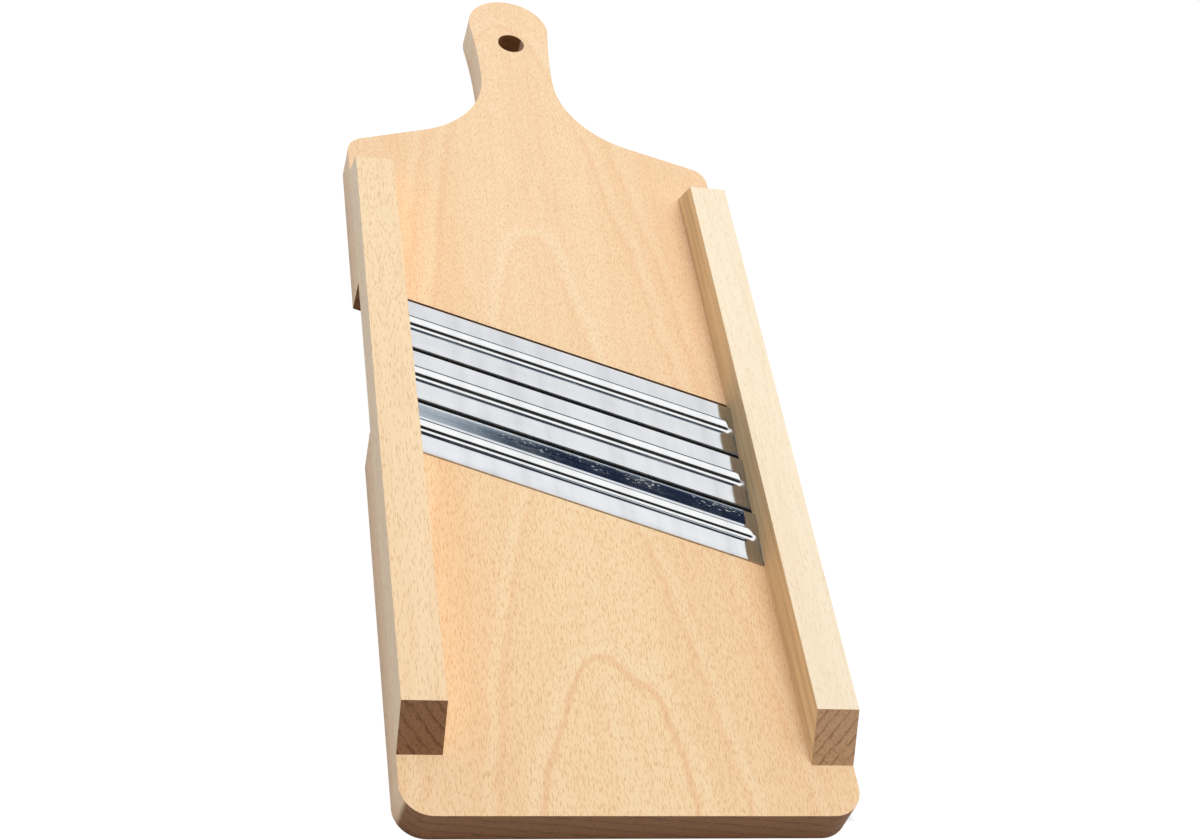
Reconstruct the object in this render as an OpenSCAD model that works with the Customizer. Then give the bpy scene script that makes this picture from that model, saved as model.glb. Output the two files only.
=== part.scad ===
// Cabbage cutter: two boards bridged by side rails, with three slanted knives in the slot between them.
// Millimetres. X runs across, +Y toward the handle, +Z up, origin under the middle of the box.

/* [Board] */
// Width of the board, rails flush with its sides
board_w = 170; // [150:1:200]
// Thickness of both boards
board_t = 16; // [13:0.5:22]
// Length from the front edge to the tip of the handle
overall_l = 460; // [440:1:500]
// Radius of the two front corners
front_corner_r = 12; // [6:0.5:20]

/* [Handle] */
// Radius of the shoulders' outer corners
shoulder_corner_r = 9; // [5:0.5:14]
// Slope of the shoulders across the board, in degrees
shoulder_slope = 19; // [14:0.5:24]
// Radius of the hollow curve from shoulder to neck
shoulder_r = 46; // [38:1:50]
// Half the width of the neck at its waist
neck_half_w = 17.6; // [15:0.1:20]
// Radius of the long hollow curve along the neck
neck_r = 345; // [250:5:450]
// Radius of the handle's round end
knob_r = 19.8; // [18:0.1:23]
// Diameter of the hanging hole
hole_d = 13; // [8:0.5:16]
// Distance from the handle's tip to the centre of the hole
hole_inset = 32.5; // [24:0.5:38]

/* [Rails] */
// Width of each rail
rail_w = 16.5; // [14:0.5:20]
// Height of each rail above the board
rail_h = 16; // [12:0.5:22]
// Distance from the board's front edge to the foot of the left rail
left_rail_front = 24; // [18:0.5:32]
// Distance from the board's front edge to the foot of the right rail
right_rail_front = 21; // [18:0.5:32]
// Distance from the handle's tip to the far foot of both rails
rail_rear_inset = 136; // [130:0.5:145]
// Run of the slope at the left rail's front end
left_front_bevel = 12; // [4:0.5:18]
// Run of the slope at the right rail's front end
right_front_bevel = 14; // [4:0.5:18]
// Run of the slope at the rails' far ends
rear_bevel = 8.5; // [2:0.5:14]

/* [Slot] */
// Angle of the slot and the knives to the board's width, in degrees
slot_angle = 20.5; // [15:0.5:24]
// Distance from the board's front edge to the rebate for the front knife, on the centre line
slot_front = 137; // [125:1:145]
// Clear gap between the rear board and the rear knife's cutting edge
mouth = 3.6; // [2.5:0.1:6]
// Depth of the rebate under the front knife's lead edge
ledge = 3; // [2:0.1:5]
// Gap in the rebate before the front knife's lead edge
lead_gap = 1.3; // [0.3:0.1:1.6]
// Run of the slope on the front board's wall, from top to bottom
wall_run = 5.5; // [0:0.5:9]

/* [Knives] */
// Thickness of the knife sheet
sheet_t = 0.8; // [0.5:0.1:1.2]
// Width of a knife from lead edge to cutting edge
knife_w = 21.6; // [20:0.1:23.5]
// Distance from one knife to the next
pitch = 26.6; // [25.5:0.1:29]
// Depth of the lead edge below the board's face
lead_drop = 0.4; // [0:0.1:0.8]
// Width of the flat lead part
lead_w = 8.6; // [7:0.1:9.5]
// Run of the hollow bend at the foot of the pressed step
hollow_run = 2.3; // [1.8:0.1:3]
// Run of the round bend at the top of the pressed step
round_run = 3.7; // [3:0.1:4.5]
// Slope of the lead part and the blade, in degrees
blade_slope = 3; // [1:0.1:5]
// Steepest slope of the pressed step, in degrees
step_slope = 32.5; // [24:0.5:38]
// Width of the ground bevel under the cutting edge
bevel_w = 4; // [2:0.5:6]
// Thickness left at the cutting edge
edge_t = 0.12; // [0.05:0.01:0.3]
// Gap between the pressed step's closed ends and the rails
end_gap = 1; // [0.6:0.1:2]
// Play round a knife in the saw cuts of the rails
cut_gap = 0.1; // [0.05:0.05:0.3]
// Distance that the saw cuts stop short of the board's sides
cut_inset = 5; // [3:0.1:8]

/* [Screws] */
// Diameter of the rail screws' shanks
rail_screw_d = 4; // [3:0.1:5]
// Diameter of the rail screws' countersunk heads
rail_head_d = 8; // [6.5:0.1:10]
// Length of the rail screws, head included
rail_screw_l = 27; // [22:0.5:29]
// Distance from the feet of the rails' ends to their outer screws
end_inset = 22; // [16:0.5:28]
// Distance from the slot's walls to the screws beside it
wall_inset = 20; // [16:0.5:24]
// Gap all round a screw where it passes through a board or a rail
screw_gap = 0.15; // [0.1:0.05:0.3]
// Play between a countersunk head and its seat
seat_gap = 0.02; // [0.01:0.01:0.05]

/* [Hidden] */
$fn = 96;
far = 600;
half_w = board_w / 2;
front_y = -overall_l / 2;
tip_y = overall_l / 2;
rail_x = half_w - rail_w / 2;
slot_y = front_y + slot_front;
rear_wall_v = lead_gap + 2 * pitch + knife_w + mouth;
rail_rear = overall_l - rail_rear_inset;
neck_turn = acos((neck_half_w + neck_r) / (knob_r + neck_r));
knob_y = tip_y - knob_r;
neck_top_y = knob_y - knob_r * sin(neck_turn);
neck_y = neck_top_y - neck_r * sin(neck_turn);
shoulder_x = neck_half_w + shoulder_r * (1 - sin(shoulder_slope));
shoulder_y = neck_y - shoulder_r * cos(shoulder_slope);
corner_x = half_w - shoulder_corner_r;
corner_top_x = corner_x + shoulder_corner_r * sin(shoulder_slope);
corner_top_y = shoulder_y - (corner_top_x - shoulder_x) * tan(shoulder_slope);
corner_y = corner_top_y - shoulder_corner_r * cos(shoulder_slope);
neck_edge = [[corner_x, corner_y - 1], [corner_x, corner_y], [corner_top_x, corner_top_y],
    [shoulder_x, shoulder_y], [neck_half_w, neck_y], [knob_r * cos(neck_turn), neck_top_y]];
raised_x = half_w - rail_w - end_gap;
tab_x = half_w - cut_inset;
turn_v = lead_w + hollow_run;
blade_v = turn_v + round_run;
flat_rise = tan(blade_slope);
steep_rise = tan(step_slope);
turn_z = lead_w * flat_rise - lead_drop + (flat_rise + steep_rise) * hollow_run / 2;
blade_z = turn_z + (flat_rise + steep_rise) * round_run / 2;
edge_z = blade_z + (knife_w - blade_v) * flat_rise;
head_h = (rail_head_d - rail_screw_d) / 2;
wood = [0.93, 0.80, 0.63];
pale_wood = [0.96, 0.87, 0.72];
steel = [0.82, 0.84, 0.87];
zinc = [0.70, 0.70, 0.68];
// Rail screws of one side as distances from the front edge: two in the front board, two in the rear board
function screw_stations(side, foot) =
    let (wall = slot_front - side * rail_x * tan(slot_angle))
    [foot + end_inset, wall - wall_inset,
        wall + rear_wall_v / cos(slot_angle) + wall_inset, rail_rear - end_inset];
left_screws = screw_stations(-1, left_rail_front);
right_screws = screw_stations(1, right_rail_front);

// Height of the pressed knife's upper face above the board, at a distance v from its lead edge
function lift(v) =
    v <= lead_w ? v * flat_rise - lead_drop :
    v <= turn_v ? lead_w * flat_rise - lead_drop + flat_rise * (v - lead_w)
        + (steep_rise - flat_rise) * pow(v - lead_w, 2) / (2 * hollow_run) :
    v <= blade_v ? turn_z + steep_rise * (v - turn_v)
        - (steep_rise - flat_rise) * pow(v - turn_v, 2) / (2 * round_run) :
    blade_z + flat_rise * (v - blade_v);
// Height of the upper face of its flat ends, which lie in straight saw cuts
function ends(v) = (edge_z + lead_drop) * v / knife_w - lead_drop;
function thick(v) =
    v <= knife_w - bevel_w ? sheet_t :
    sheet_t + (edge_t - sheet_t) * (v - knife_w + bevel_w) / bevel_w;
hollow_marks = [for (i = [0:6]) lead_w + hollow_run * i / 6];
round_marks = [for (i = [1:8]) turn_v + round_run * i / 8];
knife_marks = concat([0], hollow_marks, round_marks, [knife_w - bevel_w, knife_w]);
back_marks = [for (i = [len(knife_marks) - 1:-1:0]) knife_marks[i]];

// The plan of the whole board: round front corners, shoulders, waisted neck and round end
module board_plan() {
    difference() {
        union() {
            translate([-half_w, front_y + front_corner_r])
                square([board_w, corner_y - front_y - front_corner_r]);
            translate([-half_w + front_corner_r, front_y])
                square([board_w - 2 * front_corner_r, 2 * front_corner_r]);
            for (side = [-1, 1]) {
                translate([side * (half_w - front_corner_r), front_y + front_corner_r])
                    circle(r = front_corner_r);
                translate([side * corner_x, corner_y])
                    circle(r = shoulder_corner_r);
            }
            polygon(concat(
                neck_edge, [for (i = [len(neck_edge) - 1:-1:0]) [-neck_edge[i][0], neck_edge[i][1]]]));
            translate([0, knob_y])
                circle(r = knob_r);
        }
        for (side = [-1, 1]) {
            translate([side * (neck_half_w + shoulder_r), neck_y])
                circle(r = shoulder_r);
            intersection() {
                translate([side * (neck_half_w + neck_r), neck_y])
                    circle(r = neck_r, $fn = 360);
                translate([side * knob_r * 2 - knob_r * 2, neck_y])
                    square([knob_r * 4, neck_top_y - neck_y]);
            }
        }
    }
}

// Moves a shape into the slot's own frame: u along the knives, v toward the handle
module slot_frame() {
    translate([0, slot_y, 0])
        rotate([0, 0, -slot_angle])
            children();
}

// Runs a section drawn in v and z along u
module along_slot() {
    translate([-far / 2, 0, 0])
        rotate([90, 0, 90])
            linear_extrude(height = far)
                children();
}

// Places a shape at each rail screw of one side
module at_rail_screws(side, stations) {
    for (y = stations)
        translate([side * rail_x, front_y + y, 0])
            children();
}

// The hole and seat of one countersunk screw through a board
module screw_passage() {
    translate([0, 0, -1])
        cylinder(d = rail_screw_d + 2 * screw_gap, h = board_t + 2);
    translate([0, 0, -1])
        cylinder(d1 = rail_head_d + 2 + 2 * seat_gap, d2 = rail_screw_d + 2 * seat_gap, h = head_h + 1);
}

module rear_board() {
    color(wood)
        difference() {
            linear_extrude(height = board_t)
                intersection() {
                    board_plan();
                    translate([0, slot_y])
                        rotate(-slot_angle)
                            translate([-far / 2, rear_wall_v])
                                square([far, far]);
                }
            translate([0, tip_y - hole_inset, -1])
                cylinder(d = hole_d, h = board_t + 2);
            at_rail_screws(-1, [left_screws[2], left_screws[3]])
                screw_passage();
            at_rail_screws(1, [right_screws[2], right_screws[3]])
                screw_passage();
        }
}

module front_board() {
    color(wood)
        difference() {
            linear_extrude(height = board_t)
                intersection() {
                    board_plan();
                    translate([0, slot_y])
                        rotate(-slot_angle)
                            translate([-far / 2, ledge - far])
                                square([far, far]);
                }
            slot_frame()
                along_slot()
                    polygon([[ledge, board_t], [ledge - wall_run, 0], [ledge - wall_run, -1],
                        [ledge + 1, -1], [ledge + 1, board_t]]);
            knife_place(0)
                polygon([[-lead_gap, lift(-lead_gap) - sheet_t], [ledge, lift(ledge) - sheet_t],
                    [ledge, 1], [-lead_gap, 1]]);
            at_rail_screws(-1, [left_screws[0], left_screws[1]])
                screw_passage();
            at_rail_screws(1, [right_screws[0], right_screws[1]])
                screw_passage();
        }
}

// A rail with both ends sloped, drilled from below for its screws and saw-cut for the knives' ends
module rail(side, foot, front_bevel, stations) {
    color(pale_wood)
        difference() {
            translate([side * rail_x - rail_w / 2, front_y, board_t])
                rotate([90, 0, 90])
                    linear_extrude(height = rail_w)
                        polygon([[foot, 0], [rail_rear, 0], [rail_rear - rear_bevel, rail_h],
                            [foot + front_bevel, rail_h]]);
            at_rail_screws(side, stations)
                cylinder(d = rail_screw_d + 2 * screw_gap, h = rail_screw_l + 0.5);
            intersection() {
                for (place = [0:2])
                    knife_place(place)
                        cut_section();
                translate([-tab_x - cut_gap, -far / 2, 0])
                    cube([2 * (tab_x + cut_gap), far, far]);
            }
        }
}

module left_rail() {
    rail(-1, left_rail_front, left_front_bevel, left_screws);
}

module right_rail() {
    rail(1, right_rail_front, right_front_bevel, right_screws);
}

// Runs a section across the board at one knife's place, 0 at the front
module knife_place(place) {
    slot_frame()
        translate([0, lead_gap + place * pitch, board_t])
            along_slot()
                children();
}

// The pressed sheet in section: flat lead part, step and blade with its ground edge
module knife_section() {
    polygon(concat(
        [for (v = knife_marks) [v, lift(v)]],
        [for (v = back_marks) [v, lift(v) - thick(v)]]));
}

// The flat ends in section
module end_section() {
    polygon(concat(
        [for (v = knife_marks) [v, ends(v)]],
        [for (v = back_marks) [v, ends(v) - thick(v)]]));
}

// The wall in section that closes the step where it meets the flat ends
module close_section() {
    polygon(concat(
        [for (v = knife_marks) [v, max(lift(v), ends(v))]],
        [for (v = back_marks) [v, min(lift(v), ends(v)) - thick(v)]]));
}

// The saw cut in section that takes a knife's flat end
module cut_section() {
    polygon([
        [-cut_gap, ends(0) + cut_gap], [knife_w + cut_gap, ends(knife_w) + cut_gap],
        [knife_w + cut_gap, ends(knife_w) - sheet_t - cut_gap], [-cut_gap, ends(0) - sheet_t - cut_gap]]);
}

// The space on both sides of the middle between two distances from it
module both_sides(inner, outer) {
    for (side = [-1, 1])
        translate([side * (inner + outer) / 2, 0, 0])
            cube([outer - inner, far, far], center = true);
}

// One knife: the pressed sheet between the rails, closed at its ends, with flat ends in the saw cuts
module knife(place) {
    color(steel)
        union() {
            intersection() {
                knife_place(place)
                    knife_section();
                translate([-raised_x, -far / 2, 0])
                    cube([2 * raised_x, far, far]);
            }
            intersection() {
                knife_place(place)
                    close_section();
                both_sides(raised_x - sheet_t, raised_x);
            }
            intersection() {
                knife_place(place)
                    end_section();
                both_sides(raised_x - sheet_t, tab_x);
            }
        }
}

module rear_knife() {
    knife(2);
}

module middle_knife() {
    knife(1);
}

module front_knife() {
    knife(0);
}

// Countersunk wood screws from below, through a board into the rail
module rail_screws(side, stations) {
    color(zinc)
        at_rail_screws(side, stations)
            difference() {
                union() {
                    cylinder(d1 = rail_head_d, d2 = rail_screw_d, h = head_h);
                    cylinder(d = rail_screw_d, h = rail_screw_l - rail_screw_d);
                    translate([0, 0, rail_screw_l - rail_screw_d])
                        cylinder(d1 = rail_screw_d, d2 = 0.6, h = rail_screw_d);
                }
                for (turn = [0, 90])
                    rotate(turn)
                        cube([rail_head_d * 0.55, 1, 2.4], center = true);
            }
}

module left_rail_screws() {
    rail_screws(-1, left_screws);
}

module right_rail_screws() {
    rail_screws(1, right_screws);
}

rear_board();
front_board();
left_rail();
right_rail();
rear_knife();
middle_knife();
front_knife();
left_rail_screws();
right_rail_screws();
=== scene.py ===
"""Dresses the cabbage cutter: beech timber, polished pressed knives, zinc screws and the studio."""

import logging
import math
from dataclasses import dataclass, field
from enum import Enum

import bpy
import numpy as np
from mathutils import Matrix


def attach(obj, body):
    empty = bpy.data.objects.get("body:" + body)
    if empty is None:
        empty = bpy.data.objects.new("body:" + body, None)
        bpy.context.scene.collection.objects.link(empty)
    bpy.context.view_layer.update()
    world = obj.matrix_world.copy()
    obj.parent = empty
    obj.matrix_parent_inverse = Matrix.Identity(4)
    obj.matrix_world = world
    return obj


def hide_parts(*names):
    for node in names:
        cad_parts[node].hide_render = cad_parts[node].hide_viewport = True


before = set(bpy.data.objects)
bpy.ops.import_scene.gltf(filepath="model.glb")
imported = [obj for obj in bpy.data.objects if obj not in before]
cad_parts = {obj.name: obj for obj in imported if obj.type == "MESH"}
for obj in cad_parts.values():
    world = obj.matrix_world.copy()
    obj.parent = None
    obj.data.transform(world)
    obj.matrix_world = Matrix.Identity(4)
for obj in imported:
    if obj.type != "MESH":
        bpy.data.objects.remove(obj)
LOG = logging.getLogger("cabbage_cutter")
Colour = tuple[float, float, float]
Place = tuple[float, float, float]
Socket = bpy.types.NodeSocket

KNIFE_ANGLE = math.radians(20.5)
STRIP_MAP = "strip"
SMOOTH_UNDER = math.radians(50.0)
HALF_TURN = 180.0

# A knife's upper face: distance from the lead edge in mm, slope in degrees, slope before the rails.
PROFILE = np.array(
    [
        (0.0, 3.6, 3.6),
        (4.0, 2.7, 2.7),
        (7.9, 3.2, 3.2),
        (8.3, 6.0, 6.0),
        (9.5, 8.0, 14.0),
        (9.9, 15.0, 20.0),
        (10.8, 32.5, 26.3),
        (11.1, 32.5, 26.3),
        (11.6, 26.5, 26.0),
        (13.7, 13.0, 13.0),
        (14.1, 8.0, 8.0),
        (14.4, 6.0, 6.0),
        (14.8, 2.8, 2.8),
        (18.0, 3.0, 3.0),
        (21.6, 3.4, 3.4),
    ]
)
KNOTS = PROFILE[:, 0] / 1000.0
FOOT, BLADE = KNOTS[2], KNOTS[12]

# A steeper blade: distance from the lead edge in metres, share of the extra slope.
STEEPER = np.array(
    [(0.0142, 0.0), (0.0151, 1.0), (0.0185, 1.0), (0.0204, 0.8), (0.0213, 0.55), (0.0216, 0.1)]
)

NAVY = (0.010, 0.018, 0.042)
SOOT = (0.035, 0.032, 0.030)


class Cut(Enum):
    """How years lie in timber, seen on its end: their turn in radians, a year's width in mm."""

    FLAT_SAWN = (0.15, 5.0)
    LEANING_LEFT = (0.76, 3.9)
    LEANING_RIGHT = (-0.78, 3.4)


class Sheet:
    """A node tree with short calls for adding and joining nodes."""

    def __init__(self, tree: bpy.types.NodeTree) -> None:
        """Empties the tree.

        Args:
            tree: the node tree to fill.
        """
        self.tree = tree
        tree.nodes.clear()

    def add(self, kind: str, inputs: dict | None = None, **settings: object) -> bpy.types.Node:
        """Adds one node.

        Args:
            kind: the node's type name.
            inputs: input name or index to a value, or to a socket to join to it.
            settings: properties set on the node itself.

        Returns:
            The new node.
        """
        node = self.tree.nodes.new(kind)
        for name, value in settings.items():
            setattr(node, name, value)
        for name, value in (inputs or {}).items():
            if isinstance(value, Socket):
                self.tree.links.new(value, node.inputs[name])
            else:
                node.inputs[name].default_value = value
        return node

    def math(self, operation: str, *values: object) -> Socket:
        """Adds a Math node.

        Args:
            operation: the Math node's operation.
            values: numbers or sockets in order.

        Returns:
            The node's result.
        """
        return self.add("ShaderNodeMath", dict(enumerate(values)), operation=operation).outputs[0]

    def band(self, value: Socket, low: float, high: float) -> Socket:
        """Eases a value from 0 at low to 1 at high.

        Args:
            value: the socket to map.
            low: where the result is 0.
            high: where the result is 1.

        Returns:
            The eased value.
        """
        limits = {"Value": value, "From Min": low, "From Max": high}
        node = self.add("ShaderNodeMapRange", limits, interpolation_type="SMOOTHSTEP")
        return node.outputs["Result"]

    def split(self, vector: Socket) -> tuple[Socket, ...]:
        """Splits a vector into X, Y and Z."""
        return tuple(self.add("ShaderNodeSeparateXYZ", {0: vector}).outputs)

    def noise(self, spot: Socket, scale: float, detail: float, roughness: float = 0.5) -> Socket:
        """Draws noise.

        Args:
            spot: the place.
            scale: features in a unit of length.
            detail: how many finer layers are added.
            roughness: how strong the finer layers are.

        Returns:
            The noise, about 0 to 1.
        """
        inputs = {"Vector": spot, "Scale": scale, "Detail": detail, "Roughness": roughness}
        return self.add("ShaderNodeTexNoise", inputs).outputs["Fac"]

    def streaks(self, spot: Socket, scale: Place, detail: float) -> Socket:
        """Draws noise with its own scale on each axis.

        Args:
            spot: the place.
            scale: features in a unit of length on each axis.
            detail: how many finer layers are added.

        Returns:
            The noise, about 0 to 1.
        """
        stretched = self.add("ShaderNodeMapping", {"Vector": spot, "Scale": scale})
        return self.noise(stretched.outputs[0], 1.0, detail)

    def ramp(self, factor: Socket, stops: list[tuple[float, Colour]]) -> Socket:
        """Adds a colour ramp.

        Args:
            factor: the socket that drives it.
            stops: positions and colours in order.

        Returns:
            The ramp's colour.
        """
        node = self.add("ShaderNodeValToRGB", {"Fac": factor})
        steps = node.color_ramp.elements
        while len(steps) < len(stops):
            steps.new(0.5)
        for step, (place, colour) in zip(steps, stops):
            step.position = place
            step.color = (*colour, 1.0)
        return node.outputs["Color"]

    def blend(self, factor: object, first: object, second: object, mode: str = "MIX") -> Socket:
        """Mixes two colours.

        Args:
            factor: number or socket.
            first: colour or socket.
            second: colour or socket.
            mode: the mixing mode.

        Returns:
            The mixed colour.
        """
        values = {0: factor}
        for place, value in ((6, first), (7, second)):
            values[place] = value if isinstance(value, Socket) else (*value, 1.0)
        return self.add("ShaderNodeMix", values, data_type="RGBA", blend_type=mode).outputs[2]

    def surface(self, inputs: dict) -> None:
        """Adds the Principled shader and the material's output."""
        shader = self.add("ShaderNodeBsdfPrincipled", inputs)
        self.add("ShaderNodeOutputMaterial", {0: shader.outputs[0]})


def blank_material(name: str) -> tuple[bpy.types.Material, Sheet]:
    """Makes a material with an empty node tree.

    Args:
        name: the material's name.

    Returns:
        The material and its tree.
    """
    made = bpy.data.materials.new(name)
    made.use_nodes = True
    return made, Sheet(made.node_tree)


def wear(node: bpy.types.Object, finish: bpy.types.Material) -> None:
    """Gives a node one material."""
    node.data.materials.clear()
    node.data.materials.append(finish)


def grey(value: float) -> Colour:
    """Gives a neutral colour of one level."""
    return (value, value, value)


def toned(colour: Colour, share: Colour) -> Colour:
    """Multiplies a colour by a share for each channel."""
    return tuple(c * k for c, k in zip(colour, share))


def ease(share: np.ndarray) -> np.ndarray:
    """Eases values smoothly from 0 at 0 to 1 at 1."""
    kept = np.clip(share, 0.0, 1.0)
    return kept * kept * (3.0 - 2.0 * kept)


def summed(rate: np.ndarray, place: np.ndarray) -> np.ndarray:
    """Gives the running sum of a rate over its places, from 0 at the first."""
    return np.r_[0.0, np.cumsum((rate[1:] + rate[:-1]) / 2.0 * np.diff(place))]


@dataclass(frozen=True)
class Hump:
    """One hump of an arched year: its peak, and how fast it spreads to each side, in metres."""

    x: float
    y: float
    left: float
    right: float

    def inside(self, sheet: Sheet, x: Socket, y: Socket) -> Socket:
        """Gives the distance inside the hump.

        Inside, y lies below the peak by more than the square of the distance across over the
        spread, which differs to the left and right. That depth over the length of its gradient is
        the distance.

        Args:
            sheet: the node tree.
            x: the place across the board.
            y: the place along the board.

        Returns:
            The distance, negative outside.
        """
        across = sheet.math("SUBTRACT", x, self.x)
        on_left = sheet.math("LESS_THAN", across, 0.0)
        right = 1.0 / self.right
        slope = sheet.math(
            "MULTIPLY", across, sheet.math("MULTIPLY_ADD", on_left, 1.0 / self.left - right, right)
        )
        below = sheet.math("SUBTRACT", self.y, y)
        depth = sheet.math("SUBTRACT", below, sheet.math("MULTIPLY", across, slope))
        square = sheet.math("MULTIPLY", slope, slope)
        steep = sheet.math("SQRT", sheet.math("MULTIPLY_ADD", square, 4.0, 1.0))
        return sheet.math("DIVIDE", depth, steep)


@dataclass(frozen=True)
class Year:
    """One arched year on a flat-sawn face: a dark line with a pale rim outside it, in metres."""

    humps: tuple[Hump, ...]
    dark: float
    pale: float
    wobble: float = 0.010
    join: float = 0.004
    line_fade: tuple[float, float] = (0.0022, 0.0002)
    rim_out: float = 0.004
    rim_fade: tuple[float, float] = (0.003, 0.0005)

    def draw(self, sheet: Sheet, spot: Socket) -> tuple[Socket, Socket]:
        """Draws the line where the distance inside the humps is nought, and the rim outside it.

        Args:
            sheet: the node tree.
            spot: the place on the object.

        Returns:
            The dark line and the pale rim, each from 0 to its strength.
        """
        loose = sheet.noise(spot, 40.0, 4.0, roughness=0.6)
        wobble = sheet.math("MULTIPLY_ADD", loose, self.wobble, -self.wobble / 2.0)
        x, y, _ = sheet.split(spot)
        shifted = sheet.math("ADD", x, wobble)
        inside = -1.0
        for hump in self.humps:
            inside = sheet.math("SMOOTH_MAX", hump.inside(sheet, shifted, y), inside, self.join)
        outside = sheet.math("ADD", inside, self.rim_out)
        line = sheet.band(sheet.math("ABSOLUTE", inside), *self.line_fade)
        rim = sheet.band(sheet.math("ABSOLUTE", outside), *self.rim_fade)
        return sheet.math("MULTIPLY", line, self.dark), sheet.math("MULTIPLY", rim, self.pale)


@dataclass(frozen=True)
class Beech:
    """Bare planed beech with short flecks along the grain, faint years and dark end grain, with
    painted light and shade on the side and end faces.
    """

    name: str
    face: Colour
    fleck: Colour
    year: Colour
    pale: Colour
    # end: the end grain's own darker tone, deepened with painted shade for ends that face away from
    # the light
    end: Colour
    end_line: Colour
    cut: Cut
    shift: Place = (0.0, 0.0, 0.0)
    years: tuple[Year, ...] = ()
    # side: painted light and shade, a tint for the faces that look across the board
    side: Colour = (1.045, 1.10, 1.22)
    side_streak: float = 0.0
    flecks_a_metre: tuple[float, float] = (1450.0, 145.0)
    fleck_reach: tuple[float, float] = (0.07, 0.22)
    fleck_depth: float = 0.6
    fleck_layers: int = 3
    layer_shift: tuple[float, float] = (41.3, 17.7)
    flank: float = 0.0
    flank_from_to: tuple[float, float] = (0.015, 0.068)
    drift_tone: Colour = (0.98, 0.935, 0.9)
    streak_depth: float = 0.16
    pore_depth: float = 0.5
    year_wobble: float = 0.7
    side_light_facing: tuple[float, float] = (0.5, 0.8)
    end_facing: tuple[float, float] = (0.42, 0.62)
    roughness: float = 0.56
    fleck_roughness: float = 0.08

    def material(self) -> bpy.types.Material:
        """Builds the finish: flecks, years and slow drift on the long faces, rings on the ends, and
        painted light and shade by which way each face looks.

        Returns:
            The finished material.
        """
        made, sheet = blank_material(self.name)
        place = sheet.add("ShaderNodeTexCoord").outputs
        moved = {"Vector": place["Object"], "Location": self.shift}
        spot = sheet.add("ShaderNodeMapping", moved).outputs[0]
        flecks = self._flecks(sheet, spot)
        face = self._long_faces(sheet, place["Object"], spot, flecks)
        end, rings = self._ends(sheet, spot)
        facing_x, facing_y, _ = sheet.split(place["Normal"])
        side_light_mask = sheet.band(sheet.math("ABSOLUTE", facing_x), *self.side_light_facing)
        on_end = sheet.band(sheet.math("ABSOLUTE", facing_y), *self.end_facing)
        # the side faces get their painted light and shade tint here
        face = sheet.blend(side_light_mask, face, self._side_light_and_streaks(sheet, spot, face))
        height = sheet.math("MULTIPLY_ADD", flecks, -1.0, sheet.math("MULTIPLY", rings, on_end))
        rough = sheet.math("MULTIPLY_ADD", flecks, self.fleck_roughness, self.roughness)
        relief = {"Strength": 0.12, "Distance": 0.0003, "Height": height}
        sheet.surface(
            {
                "Base Color": sheet.blend(on_end, face, end),
                "Roughness": rough,
                "Specular IOR Level": 0.3,
                "Normal": sheet.add("ShaderNodeBump", relief).outputs[0],
            }
        )
        return made

    def _flecks(self, sheet: Sheet, spot: Socket) -> Socket:
        """Draws the short dashes of the rays.

        They are the middles of long cells, which are laid round the timber by x plus z and by y.

        Args:
            sheet: the node tree.
            spot: the place in the timber.

        Returns:
            The dashes, from 0 to 1.
        """
        x, y, z = sheet.split(spot)
        girth = sheet.math("ADD", x, z)
        least, most = self.fleck_reach
        across, along = self.flecks_a_metre
        across_shift, along_shift = self.layer_shift
        dashes = 0.0
        for layer in range(self.fleck_layers):
            corners = {
                0: sheet.math("MULTIPLY_ADD", girth, across, across_shift * layer),
                1: sheet.math("MULTIPLY_ADD", y, along, along_shift * layer),
            }
            cell = sheet.add("ShaderNodeCombineXYZ", corners)
            grid = {"Vector": cell.outputs[0], "Scale": 1.0}
            middle = sheet.add("ShaderNodeTexVoronoi", grid, voronoi_dimensions="2D")
            size = sheet.add("ShaderNodeSeparateColor", {0: middle.outputs["Color"]}).outputs[0]
            reach = sheet.math("MULTIPLY_ADD", size, most - least, least)
            inside = sheet.math("DIVIDE", middle.outputs["Distance"], reach)
            dash = sheet.math("SUBTRACT", 1.0, sheet.band(inside, 0.45, 1.1))
            dashes = sheet.math("MAXIMUM", dash, dashes)
        return dashes

    def _long_faces(self, sheet: Sheet, true_spot: Socket, spot: Socket, flecks: Socket) -> Socket:
        """Colours the faces along the grain.

        Args:
            sheet: the node tree.
            true_spot: the place on the object, for the arched years.
            spot: the shifted place in the timber, for the drift.
            flecks: the dashes.

        Returns:
            The colour.
        """
        drift = sheet.band(sheet.streaks(spot, (60.0, 3.0, 60.0), 3.0), 0.35, 0.7)
        fine = sheet.band(sheet.streaks(spot, (1300.0, 40.0, 1300.0), 2.0), 0.45, 0.75)
        colour = sheet.blend(drift, self.face, toned(self.face, self.drift_tone))
        colour = sheet.blend(sheet.math("MULTIPLY", fine, self.streak_depth), colour, self.fleck)
        off_middle = sheet.math("ABSOLUTE", sheet.split(true_spot)[0])
        flank = sheet.math("MULTIPLY", sheet.band(off_middle, *self.flank_from_to), self.flank)
        colour = sheet.blend(flank, colour, self.year)
        for year in self.years:
            line, rim = year.draw(sheet, true_spot)
            colour = sheet.blend(rim, sheet.blend(line, colour, self.year), self.pale)
        return sheet.blend(sheet.math("MULTIPLY", flecks, self.fleck_depth), colour, self.fleck)

    def _side_light_and_streaks(self, sheet: Sheet, spot: Socket, face: Socket) -> Socket:
        """Tones the long faces for the sides with painted light and shade, with dark streaks where
        the timber has them.

        Args:
            sheet: the node tree.
            spot: the place in the timber.
            face: the long faces' colour.

        Returns:
            The colour.
        """
        side = sheet.blend(1.0, face, self.side, "MULTIPLY")
        if self.side_streak:
            dark = sheet.band(sheet.streaks(spot, (300.0, 9.0, 300.0), 3.0), 0.42, 0.7)
            side = sheet.blend(sheet.math("MULTIPLY", dark, self.side_streak), side, self.end_line)
        return side

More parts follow.
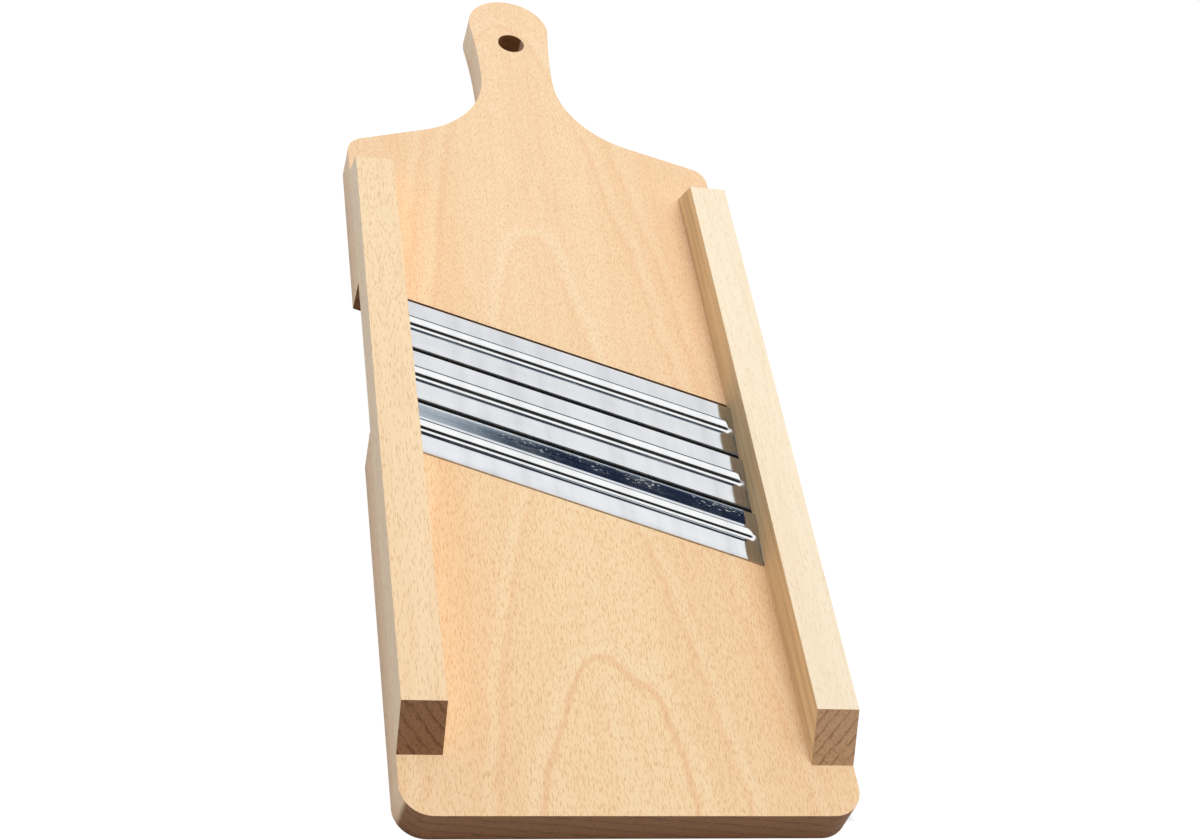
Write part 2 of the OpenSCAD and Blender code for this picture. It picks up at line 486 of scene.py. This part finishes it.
    def _ends(self, sheet: Sheet, spot: Socket) -> tuple[Socket, Socket]:
        """Colours the end grain, with its painted shade: years as narrow dark lines, with fine
        pores.

        Args:
            sheet: the node tree.
            spot: the place in the timber.

        Returns:
            The colour, and the years from 0 to 1.
        """
        turn, width = self.cut.value
        years_a_metre = 1000.0 / width
        x, _, z = sheet.split(spot)
        level = sheet.math(
            "ADD",
            sheet.math("MULTIPLY", x, math.sin(turn) * years_a_metre),
            sheet.math("MULTIPLY", z, math.cos(turn) * years_a_metre),
        )
        loose = sheet.noise(spot, 130.0, 3.0)
        year = sheet.math("FRACT", sheet.math("MULTIPLY_ADD", loose, self.year_wobble, level))
        late = sheet.math("SUBTRACT", 1.0, sheet.band(year, 0.92, 1.0))
        rings = sheet.math("MULTIPLY", sheet.band(year, 0.62, 0.92), late)
        patch = sheet.band(sheet.noise(spot, 260.0, 3.0), 0.35, 0.65)
        strength = sheet.math("MULTIPLY_ADD", patch, 0.55, 0.3)
        pores = sheet.band(sheet.streaks(spot, (1150.0, 60.0, 1150.0), 2.0), 0.48, 0.68)
        colour = sheet.blend(sheet.math("MULTIPLY", rings, strength), self.end, self.end_line)
        colour = sheet.blend(sheet.math("MULTIPLY", pores, self.pore_depth), colour, self.end_line)
        return colour, rings


@dataclass(frozen=True)
class PolishedSteel:
    """Bright rolled sheet with faint marks along the strip."""

    name: str
    colour: Colour = (0.56, 0.565, 0.57)
    roughness: float = 0.05
    specks: float = 0.0
    worn_from_to: tuple[float, float] = (0.0165, 0.0195)
    line_roughness: float = 0.08
    haze_roughness: float = 0.05
    speck_roughness: float = 0.5
    line_tone: float = 0.86
    line_depth: float = 0.25
    smear_tone: float = 0.85
    smear_depth: float = 0.8

    def material(self) -> bpy.types.Material:
        """Builds the finish: drawn lines along the strip's own map, haze, smears and small specks.

        Returns:
            The finished material.
        """
        made, sheet = blank_material(self.name)
        strip = sheet.add("ShaderNodeUVMap", uv_map=STRIP_MAP).outputs[0]
        lines = sheet.streaks(strip, (14.0, 900.0, 1.0), 3.0)
        haze = sheet.streaks(strip, (60.0, 160.0, 1.0), 4.0)
        smear = sheet.band(sheet.streaks(strip, (95.0, 9.0, 1.0), 3.0), 0.4, 0.7)
        dull = sheet.band(haze, 0.4, 0.75)
        specks = self._specks(sheet, strip, haze)
        level = sheet.math("MULTIPLY_ADD", lines, self.line_roughness, self.roughness)
        level = sheet.math("MULTIPLY_ADD", dull, self.haze_roughness, level)
        level = sheet.math("MULTIPLY_ADD", specks, self.speck_roughness, level)
        darker = toned(self.colour, grey(self.line_tone))
        smeared = toned(self.colour, grey(self.smear_tone))
        tone = sheet.blend(sheet.math("MULTIPLY", lines, self.line_depth), self.colour, darker)
        tone = sheet.blend(sheet.math("MULTIPLY", smear, self.smear_depth), tone, smeared)
        relief = {"Strength": 0.02, "Distance": 0.0001, "Height": lines}
        bump = sheet.add("ShaderNodeBump", relief).outputs[0]
        sheet.surface({"Base Color": tone, "Metallic": 1.0, "Roughness": level, "Normal": bump})
        return made

    def _specks(self, sheet: Sheet, strip: Socket, haze: Socket) -> Socket:
        """Draws the dull specks on the blade, thicker where the haze is thick.

        Args:
            sheet: the node tree.
            strip: the place on the strip.
            haze: the noise that gathers them.

        Returns:
            The specks, from 0 to their strength.
        """
        dust = sheet.band(sheet.streaks(strip, (420.0, 1500.0, 1.0), 2.0), 0.6, 0.68)
        blade = sheet.band(sheet.split(strip)[1], *self.worn_from_to)
        speck = sheet.math("MULTIPLY", dust, sheet.math("MULTIPLY", blade, self.specks))
        return sheet.math("MULTIPLY", speck, sheet.band(haze, 0.38, 0.6))


@dataclass(frozen=True)
class Zinc:
    """Dull zinc plating on the screws."""

    name: str
    colour: Colour = (0.58, 0.58, 0.56)
    dull_tone: float = 0.8

    def material(self) -> bpy.types.Material:
        """Builds the finish: metal with a cloudy sheen.

        Returns:
            The finished material.
        """
        made, sheet = blank_material(self.name)
        place = sheet.add("ShaderNodeTexCoord").outputs["Object"]
        cloud = sheet.noise(place, 900.0, 3.0)
        level = sheet.math("MULTIPLY_ADD", cloud, 0.3, 0.2)
        tone = sheet.blend(cloud, self.colour, toned(self.colour, grey(self.dull_tone)))
        sheet.surface({"Base Color": tone, "Metallic": 1.0, "Roughness": level})
        return made


def smooth_by_angle() -> bpy.types.NodeTree:
    """Makes a modifier tree that shades faces smoothly and keeps steep edges sharp.

    Returns:
        The node tree.
    """
    tree = bpy.data.node_groups.new("smooth_by_angle", "GeometryNodeTree")
    tree.interface.new_socket("Geometry", in_out="INPUT", socket_type="NodeSocketGeometry")
    tree.interface.new_socket("Geometry", in_out="OUTPUT", socket_type="NodeSocketGeometry")
    sheet = Sheet(tree)
    start = sheet.add("NodeGroupInput").outputs[0]
    angle = sheet.add("GeometryNodeInputMeshEdgeAngle").outputs[0]
    sides = {0: angle, 1: SMOOTH_UNDER}
    gentle = sheet.add("FunctionNodeCompare", sides, data_type="FLOAT", operation="LESS_THAN")
    faces = sheet.add("GeometryNodeSetShadeSmooth", {0: start, 2: True}, domain="FACE")
    soft = {0: faces.outputs[0], 2: gentle.outputs[0]}
    edges = sheet.add("GeometryNodeSetShadeSmooth", soft, domain="EDGE")
    sheet.add("NodeGroupOutput", {0: edges.outputs[0]})
    return tree


@dataclass
class Timber:
    """The boards and rails, with eased edges and their beech finishes. Sizes in metres."""

    finishes: dict[str, Beech] = field(default_factory=dict)
    ease: float = 0.0007
    ease_over: float = math.radians(35.0)
    weld: float = 0.000002

    def dress(self) -> None:
        """Gives each timber node its finish, welds its mesh and eases its edges."""
        tree = smooth_by_angle()
        for name, finish in self.finishes.items():
            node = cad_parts[name]
            wear(node, finish.material())
            weld = node.modifiers.new("weld", "WELD")
            weld.merge_threshold = self.weld
            edge = node.modifiers.new("eased_edges", "BEVEL")
            edge.width = self.ease
            edge.segments = 2
            edge.limit_method = "ANGLE"
            edge.angle_limit = self.ease_over
            smooth = node.modifiers.new("smooth", "NODES")
            smooth.node_group = tree
            flat = node.modifiers.new("weighted", "WEIGHTED_NORMAL")
            flat.keep_sharp = True
            LOG.info("%s dressed in %s", name, finish.name)


@dataclass
class Screws:
    """The countersunk screws under the rails."""

    names: tuple[str, ...] = ("left_rail_screws", "right_rail_screws")

    def dress(self) -> None:
        """Gives the screw groups their zinc finish."""
        finish = Zinc("zinc_plate").material()
        for name in self.names:
            wear(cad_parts[name], finish)
            LOG.info("%s dressed in zinc", name)


@dataclass
class Knife:
    """One pressed knife: flat lead part, step and blade, with flat ends. Sizes in metres."""

    node: str
    place: int
    finish: bpy.types.Material
    tilt: float = 0.0
    lead_edge_y: float = -0.091612
    pitch: float = 0.0266
    board_top: float = 0.016
    sheet: float = 0.0008
    width: float = 0.0216
    lead_drop: float = 0.0004
    bevel: float = 0.004
    edge: float = 0.00012
    rail_x: float = 0.0685
    end_x: float = 0.08
    # Places along the knife: where the even ones end and the close ones run, before the rail, and
    # the first one past its face.
    even_until: float = 0.006
    close_from: float = 0.0045
    close_to: float = 0.0002
    past_rail: float = 0.0005
    # The step's gentler slope: how far before the rail it is complete, and over what length.
    eased_at: float = 0.0019
    eased_over: float = 0.0022
    # The step's closed end: middle and half width across the knife, distance before the rail in the
    # middle, how much sooner it closes at its sides, and the length of the closing.
    nose_v: float = 0.0115
    nose_half: float = 0.0032
    nose_room: float = 0.0012
    nose_sweep: float = 0.0010
    nose_over: float = 0.0012
    # Where the lead part rises into its saw cut, behind the rail's face.
    rise_from: float = 0.00005
    rise_to: float = 0.00025
    # The steeper blade: where its slope begins along the knife, over what length it grows, and
    # where across the knife its sum is taken back.
    tilt_x: float = -0.075
    tilt_over: float = 0.09
    settle_v: float = 0.009
    settle_over: float = 0.006

    def height(self, v: np.ndarray, degrees: np.ndarray) -> np.ndarray:
        """Sums a slope that runs straight between the profile's knots, from the lead edge on."""
        slope = np.tan(np.radians(np.interp(v, KNOTS, degrees)))
        return summed(slope, v) - self.lead_drop

    def section(self) -> np.ndarray:
        """Gives the places across the knife: close on the step, wide elsewhere.

        Returns:
            Distances from the lead edge.
        """
        lead = np.linspace(KNOTS[0], FOOT, 12)
        step = np.linspace(FOOT, BLADE, 101)
        return np.unique(np.r_[lead, step, np.linspace(BLADE, self.width, 22)])

    def stations(self) -> np.ndarray:
        """Gives the places along the knife: even in the middle, close before the rails.

        Returns:
            Distances across the board.
        """
        closing = np.linspace(self.close_from, self.close_to, 44)
        rising = np.linspace(self.rise_from, -self.rise_to, 7)
        near_rail = self.rail_x - np.r_[closing, rising]
        side = np.r_[near_rail, self.rail_x + self.past_rail, self.end_x]
        reach = self.rail_x - self.even_until
        return np.r_[-side[::-1], np.linspace(-reach, reach, 21), side]

    def tilted(self, v: np.ndarray, x: np.ndarray) -> np.ndarray:
        """Gives the extra height of a blade that is set a little steeper toward its right end.

        The extra slope begins behind the round bend, dies out toward the cutting edge and grows
        along the knife by a smooth step from half to all. Its sum at the edge is taken back evenly
        over the step, so the cutting edge keeps its height.

        Args:
            v: distances from the lead edge.
            x: distances across the board.

        Returns:
            Heights, one row for each x.
        """
        gain = summed(np.interp(v, STEEPER[:, 0], STEEPER[:, 1]), v)
        gain = gain - gain[-1] * np.clip((v - self.settle_v) / self.settle_over, 0.0, 1.0)
        along = 0.5 + 0.5 * ease((x - self.tilt_x) / self.tilt_over)
        return self.tilt * along[:, None] * gain[None, :]

    def upper_face(self, v: np.ndarray, x: np.ndarray) -> np.ndarray:
        """Shapes the upper face.

        The pressed height is the running sum of the profile's slope, and it passes by a smooth step
        into the gentler profile before the rails. What stands above the straight line from the lead
        edge to the cutting edge fades by a smooth step before the rail, later in the middle of the
        step than at its sides. What lies below that line rises to it just behind the rail's face.

        Args:
            v: distances from the lead edge.
            x: distances across the board.

        Returns:
            Heights over the board, one row for each x.
        """
        room = (self.rail_x - np.abs(x))[:, None]
        full, eased = self.height(v, PROFILE[:, 1]), self.height(v, PROFILE[:, 2])
        near = 1.0 - ease((room - self.eased_at) / self.eased_over)
        pressed = full + near * (eased - full) + self.tilted(v, x)
        straight = np.interp(v, [0.0, self.width], [pressed[0, 0], pressed[0, -1]])
        above = np.clip(pressed - straight, 0.0, None)
        below = pressed - straight - above
        off_middle = np.clip((v - self.nose_v) / self.nose_half, -1.0, 1.0)
        closed_at = self.nose_room + self.nose_sweep * off_middle**2
        kept_above = ease((room - closed_at) / self.nose_over)
        kept_below = ease((room + self.rise_to) / (self.rise_to - self.rise_from))
        return straight + kept_above * above + kept_below * below

    def build(self) -> bpy.types.Object:
        """Carries the section along the board's width and makes the mesh.

        Each ring is the upper face and then the lower face backward. A place (x, v) lies at
        y = start - x tan(angle) + v / cos(angle).

        Returns:
            The knife's object.
        """
        v, x = self.section(), self.stations()
        upper = self.upper_face(v, x)
        thick = np.interp(
            v, [0.0, self.width - self.bevel, self.width], [self.sheet, self.sheet, self.edge]
        )
        ring_v = np.r_[v, v[::-1]]
        ring_z = np.concatenate([upper, (upper - thick)[:, ::-1]], axis=1) + self.board_top
        rows, count = len(x), len(ring_v)
        start = self.lead_edge_y + self.place * self.pitch / math.cos(KNIFE_ANGLE)
        across = np.repeat(x[:, None], count, axis=1)
        along = start - across * math.tan(KNIFE_ANGLE) + ring_v / math.cos(KNIFE_ANGLE)
        points = np.stack([across, along, ring_z], axis=2).reshape(-1, 3)
        row, col = np.meshgrid(np.arange(rows - 1), np.arange(count), indexing="ij")
        nxt = (col + 1) % count
        here, beyond = row * count, (row + 1) * count
        quads = np.stack([here + col, beyond + col, beyond + nxt, here + nxt], axis=2)
        half = np.arange(len(v) - 1)
        cap = np.stack([half + 1, count - 2 - half, count - 1 - half, half], axis=1)
        faces = np.concatenate([quads.reshape(-1, 4), cap, cap[:, ::-1] + (rows - 1) * count])
        strip = np.stack([across.ravel() / math.cos(KNIFE_ANGLE), np.tile(ring_v, rows)], axis=1)
        return self._piece(self._mesh(points, faces, strip, count))

    def _mesh(
        self, points: np.ndarray, faces: np.ndarray, strip: np.ndarray, count: int
    ) -> bpy.types.Mesh:
        """Puts the arrays into a mesh with its strip map and sharp edges.

        The edges along the knife at the sheet's four corners are sharp, and so are those round its
        two ends.

        Args:
            points: vertex places.
            faces: four vertices a face.
            strip: map place along and across the knife for each vertex.
            count: vertices in a ring, half of them on the upper face.

        Returns:
            The mesh.
        """
        mesh = bpy.data.meshes.new(self.node + "_sheet")
        mesh.from_pydata(points.tolist(), [], faces.tolist())
        loops = np.empty(len(mesh.loops), dtype=np.int32)
        mesh.loops.foreach_get("vertex_index", loops)
        mesh.uv_layers.new(name=STRIP_MAP).data.foreach_set("uv", strip[loops].ravel())
        ends = np.empty(2 * len(mesh.edges), dtype=np.int32)
        mesh.edges.foreach_get("vertices", ends)
        first, second = ends.reshape(-1, 2).T
        turn, last = count // 2, len(points) // count - 1
        same_line = (first % count) == (second % count)
        corner = np.isin(first % count, [0, turn - 1, turn, count - 1])
        on_cap = (first // count == second // count) & np.isin(first // count, [0, last])
        sharp = mesh.attributes.new("sharp_edge", "BOOLEAN", "EDGE")
        sharp.data.foreach_set("value", (same_line & corner) | on_cap)
        mesh.polygons.foreach_set("use_smooth", np.ones(len(mesh.polygons), dtype=bool))
        mesh.materials.append(self.finish)
        mesh.validate()
        mesh.update()
        return mesh

    def _piece(self, mesh: bpy.types.Mesh) -> bpy.types.Object:
        """Puts the mesh into the scene in place of the knife's node.

        Args:
            mesh: the knife's mesh.

        Returns:
            The knife's object.
        """
        piece = bpy.data.objects.new(self.node + "_sheet", mesh)
        bpy.context.collection.objects.link(piece)
        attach(piece, "root")
        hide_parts(self.node)
        LOG.info("%s built with %d faces", piece.name, len(mesh.polygons))
        return piece


@dataclass
class Studio:
    """The camera, the light and the floor. Sizes in metres."""

    place: Place = (-0.20415, -0.55895, 0.59203)
    turn_deg: Place = (42.213, -13.781, -8.0396)
    lens: float = 58.357
    # The sky by its angle in degrees round the knives, from the horizon behind to that in front.
    bands: tuple[tuple[float, Colour], ...] = (
        (0.0, grey(0.66)),
        (44.0, (0.60, 0.61, 0.63)),
        (54.0, (0.885, 0.895, 0.91)),
        (55.5, (0.865, 0.875, 0.89)),
        (57.0, (0.33, 0.41, 0.48)),
        (58.2, NAVY),
        (60.4, NAVY),
        (61.4, SOOT),
        (63.0, SOOT),
        (67.0, grey(1.0)),
        (97.0, grey(1.0)),
        (100.0, grey(0.02)),
        (128.0, grey(0.03)),
        (150.0, grey(0.35)),
        (180.0, grey(0.45)),
    )
    room_from_to: tuple[float, float] = (118.0, 135.0)
    room_level: float = 0.5
    # The left side: tint for plain rays, level for mirror rays, and where each passes away.
    left_light: Colour = (0.9, 0.97, 1.12)
    left_light_from_to: tuple[float, float] = (-0.45, 0.05)
    left_mirrored: float = 0.36
    left_mirrored_from_to: tuple[float, float] = (-0.24, -0.1)
    mirror_gain: float = 0.72
    # The floor's painted shadow under the slot: middle, half size and half of its soft edge.
    painted_shadow_middle: tuple[float, float] = (0.0055, -0.061)
    painted_shadow_half: tuple[float, float] = (0.08, 0.16)
    painted_shadow_edge: float = 0.004
    painted_shadow_tone: float = 0.04
    # The floor: half size, height, tone, and the share and level of its white to the camera.
    floor_reach: float = 4.0
    floor_z: float = -0.0002
    floor_tone: float = 0.8
    white_share: float = 0.97
    white_level: float = 1.04

    def camera(self) -> None:
        """Sets the photograph's camera, fitted to the board's corners for 1200 by 840 pixels."""
        data = bpy.data.cameras.new("view")
        data.sensor_width = 36.0
        data.lens = self.lens
        data.clip_start = 0.01
        eye = bpy.data.objects.new("view", data)
        eye.location = self.place
        eye.rotation_euler = tuple(math.radians(a) for a in self.turn_deg)
        bpy.context.collection.objects.link(eye)
        bpy.context.scene.camera = eye

    def sky(self) -> None:
        """Lights the scene by angle round the knives: pale wall behind, bright ceiling, dark room.

        Mirror rays see a paler room in front, a greyer left side and more strength. Other rays
        see a cooler left side, and the camera sees plain white.
        """
        world = bpy.data.worlds.new("studio")
        bpy.context.scene.world = world
        world.use_nodes = True
        sheet = Sheet(world.node_tree)
        x, y, z = sheet.split(sheet.add("ShaderNodeTexCoord").outputs["Generated"])
        cos, sin = math.cos(KNIFE_ANGLE), math.sin(KNIFE_ANGLE)
        back = sheet.math("ADD", sheet.math("MULTIPLY", x, sin), sheet.math("MULTIPLY", y, cos))
        turned = sheet.math("MULTIPLY", y, sin)
        side = sheet.math("SUBTRACT", sheet.math("MULTIPLY", x, cos), turned)
        angle = sheet.math("DIVIDE", sheet.math("ARCTAN2", z, back), math.pi)
        stops = [(degrees / HALF_TURN, colour) for degrees, colour in self.bands]
        path = sheet.add("ShaderNodeLightPath").outputs
        mirror = path["Is Glossy Ray"]
        front = sheet.band(angle, *(degrees / HALF_TURN for degrees in self.room_from_to))
        room = sheet.math("MULTIPLY", front, mirror)
        colour = sheet.blend(room, sheet.ramp(angle, stops), grey(self.room_level))
        to_right = sheet.band(x, *self.left_light_from_to)
        cool = sheet.blend(to_right, self.left_light, grey(1.0))
        along = sheet.band(side, *self.left_mirrored_from_to)
        shade = sheet.blend(along, grey(self.left_mirrored), grey(1.0))
        lit = sheet.blend(1.0, colour, sheet.blend(mirror, cool, shade), "MULTIPLY")
        seen = sheet.blend(path["Is Camera Ray"], lit, grey(1.0))
        level = sheet.math("MULTIPLY_ADD", mirror, self.mirror_gain, 1.0)
        light = sheet.add("ShaderNodeBackground", {"Color": seen, "Strength": level})
        sheet.add("ShaderNodeOutputWorld", {0: light.outputs[0]})

    def lamp(self, name: str, spot: Place, power: float, size: float) -> None:
        """Adds one soft lamp aimed at the board, unseen in the knives.

        Args:
            name: the lamp's name.
            spot: its place in metres.
            power: its power in watts.
            size: the width of its square face in metres.
        """
        data = bpy.data.lights.new(name, "AREA")
        data.energy = power
        data.size = size
        thing = bpy.data.objects.new(name, data)
        thing.location = spot
        x, y, z = spot
        tip = math.pi / 2 - math.atan2(z, math.hypot(x, y))
        thing.rotation_euler = (tip, 0.0, math.atan2(x, -y))
        thing.visible_glossy = False
        bpy.context.collection.objects.link(thing)

    def floor(self) -> None:
        """Lays the floor: white to the camera away from the part, and a painted shadow to it under
        the slot.
        """
        reach, level = self.floor_reach, self.floor_z
        corners = [(x * reach, y * reach, level) for x, y in ((-1, -1), (1, -1), (1, 1), (-1, 1))]
        mesh = bpy.data.meshes.new("floor")
        mesh.from_pydata(corners, [], [(0, 1, 2, 3)])
        made, sheet = blank_material("pale_floor")
        spot = sheet.split(sheet.add("ShaderNodeTexCoord").outputs["Object"])
        past_x, past_y = (
            sheet.math("SUBTRACT", sheet.math("ABSOLUTE", sheet.math("SUBTRACT", at, middle)), half)
            for at, middle, half in zip(spot, self.painted_shadow_middle, self.painted_shadow_half)
        )
        past = sheet.math("MAXIMUM", past_x, past_y)
        clear = sheet.band(past, -self.painted_shadow_edge, self.painted_shadow_edge)
        eye = sheet.add("ShaderNodeLightPath").outputs["Is Camera Ray"]
        seen = sheet.math("MULTIPLY", sheet.math("MULTIPLY", eye, clear), self.white_share)
        # painted shadow: camera rays see a near-black floor under the slot
        shade = sheet.math("MULTIPLY", eye, sheet.math("SUBTRACT", 1.0, clear))
        tone = sheet.blend(shade, grey(self.floor_tone), grey(self.painted_shadow_tone))
        plain = sheet.add("ShaderNodeBsdfDiffuse", {"Color": tone}).outputs[0]
        glow = {"Color": (1.0, 1.0, 1.0, 1.0), "Strength": self.white_level}
        white = sheet.add("ShaderNodeEmission", glow).outputs[0]
        mixed = sheet.add("ShaderNodeMixShader", {0: seen, 1: plain, 2: white})
        sheet.add("ShaderNodeOutputMaterial", {0: mixed.outputs[0]})
        mesh.materials.append(made)
        thing = bpy.data.objects.new("floor", mesh)
        bpy.context.collection.objects.link(thing)

    def build(self) -> None:
        """Sets up the whole studio."""
        bpy.context.scene.view_settings.view_transform = "Standard"
        self.camera()
        self.sky()
        self.floor()
        self.lamp("ceiling", (0.15, 0.2, 1.5), power=15.0, size=1.2)


def finishes() -> dict[str, Beech]:
    """Lists the timber's finishes.

    Returns:
        The finish of each timber node.
    """
    board = {
        "fleck": (0.66, 0.32, 0.115),
        "year": (0.84, 0.50, 0.28),
        "pale": (0.97, 0.79, 0.53),
        "cut": Cut.FLAT_SAWN,
    }
    rear = Beech(
        "beech_rear",
        **board,
        face=(0.95, 0.695, 0.43),
        # painted shadow: the rear board's end is darker still for the slot's rear wall under the
        # rail
        end=(0.30, 0.13, 0.045),
        end_line=(0.15, 0.06, 0.02),
        flank=0.15,
        flecks_a_metre=(1700.0, 200.0),
        years=(
            Year((Hump(-0.006, 0.0595, 0.0068, 0.0048),), dark=0.14, pale=0.4),
            Year((Hump(-0.005, 0.21, 0.012, 0.012),), dark=0.25, pale=0.25),
            Year((Hump(-0.005, 0.25, 0.015, 0.015),), dark=0.2, pale=0.2),
        ),
    )
    arch = (Hump(-0.004, -0.1634, 0.0138, 0.0085), Hump(0.0095, -0.1755, 0.0027, 0.0027))
    front = Beech(
        "beech_front",
        **board,
        face=(0.932, 0.688, 0.41),
        end=(0.32, 0.14, 0.052),
        end_line=(0.18, 0.075, 0.03),
        flank=0.3,
        fleck_depth=0.65,
        shift=(0.3, 0.7, 0.2),
        years=(
            Year(arch, dark=0.6, pale=0.2),
            Year((Hump(-0.004, -0.06, 0.013, 0.0121),), dark=0.28, pale=0.25),
            Year((Hump(-0.004, 0.1, 0.016, 0.0143),), dark=0.2, pale=0.2),
        ),
    )
    left = Beech(
        "beech_left_rail",
        face=(0.945, 0.715, 0.445),
        fleck=(0.62, 0.34, 0.15),
        year=(0.85, 0.55, 0.33),
        pale=(0.96, 0.76, 0.51),
        end=(0.31, 0.15, 0.068),
        end_line=(0.13, 0.055, 0.02),
        cut=Cut.LEANING_LEFT,
        shift=(0.9, 0.1, 0.4),
        flecks_a_metre=(1100.0, 120.0),
        fleck_reach=(0.05, 0.23),
        fleck_layers=2,
    )
    right = Beech(
        "beech_right_rail",
        face=(0.96, 0.82, 0.60),
        fleck=(0.66, 0.44, 0.25),
        year=(0.85, 0.64, 0.42),
        pale=(0.97, 0.86, 0.68),
        end=(0.60, 0.355, 0.19),
        end_line=(0.30, 0.15, 0.07),
        cut=Cut.LEANING_RIGHT,
        shift=(0.5, 0.4, 0.8),
        flecks_a_metre=(1200.0, 120.0),
        fleck_reach=(0.03, 0.2),
        fleck_layers=2,
        fleck_depth=0.42,
        # painted shade and warm bounce light on the rail's side faces
        side=(0.98, 0.86, 0.66),
        side_streak=0.3,
    )
    return {"rear_board": rear, "front_board": front, "left_rail": left, "right_rail": right}


def main() -> None:
    """Builds every piece in order."""
    logging.basicConfig(level=logging.INFO, format="%(name)s: %(message)s")
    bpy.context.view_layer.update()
    Timber(finishes()).dress()
    Screws().dress()
    bright = PolishedSteel("knife_steel_bright").material()
    worn = PolishedSteel("knife_steel_speckled", roughness=0.015, specks=1.0).material()
    Knife("rear_knife", 2, bright).build()
    Knife("middle_knife", 1, bright).build()
    Knife("front_knife", 0, worn, tilt=math.tan(math.radians(3.3))).build()
    Studio().build()


if __name__ == "__main__":
    main()
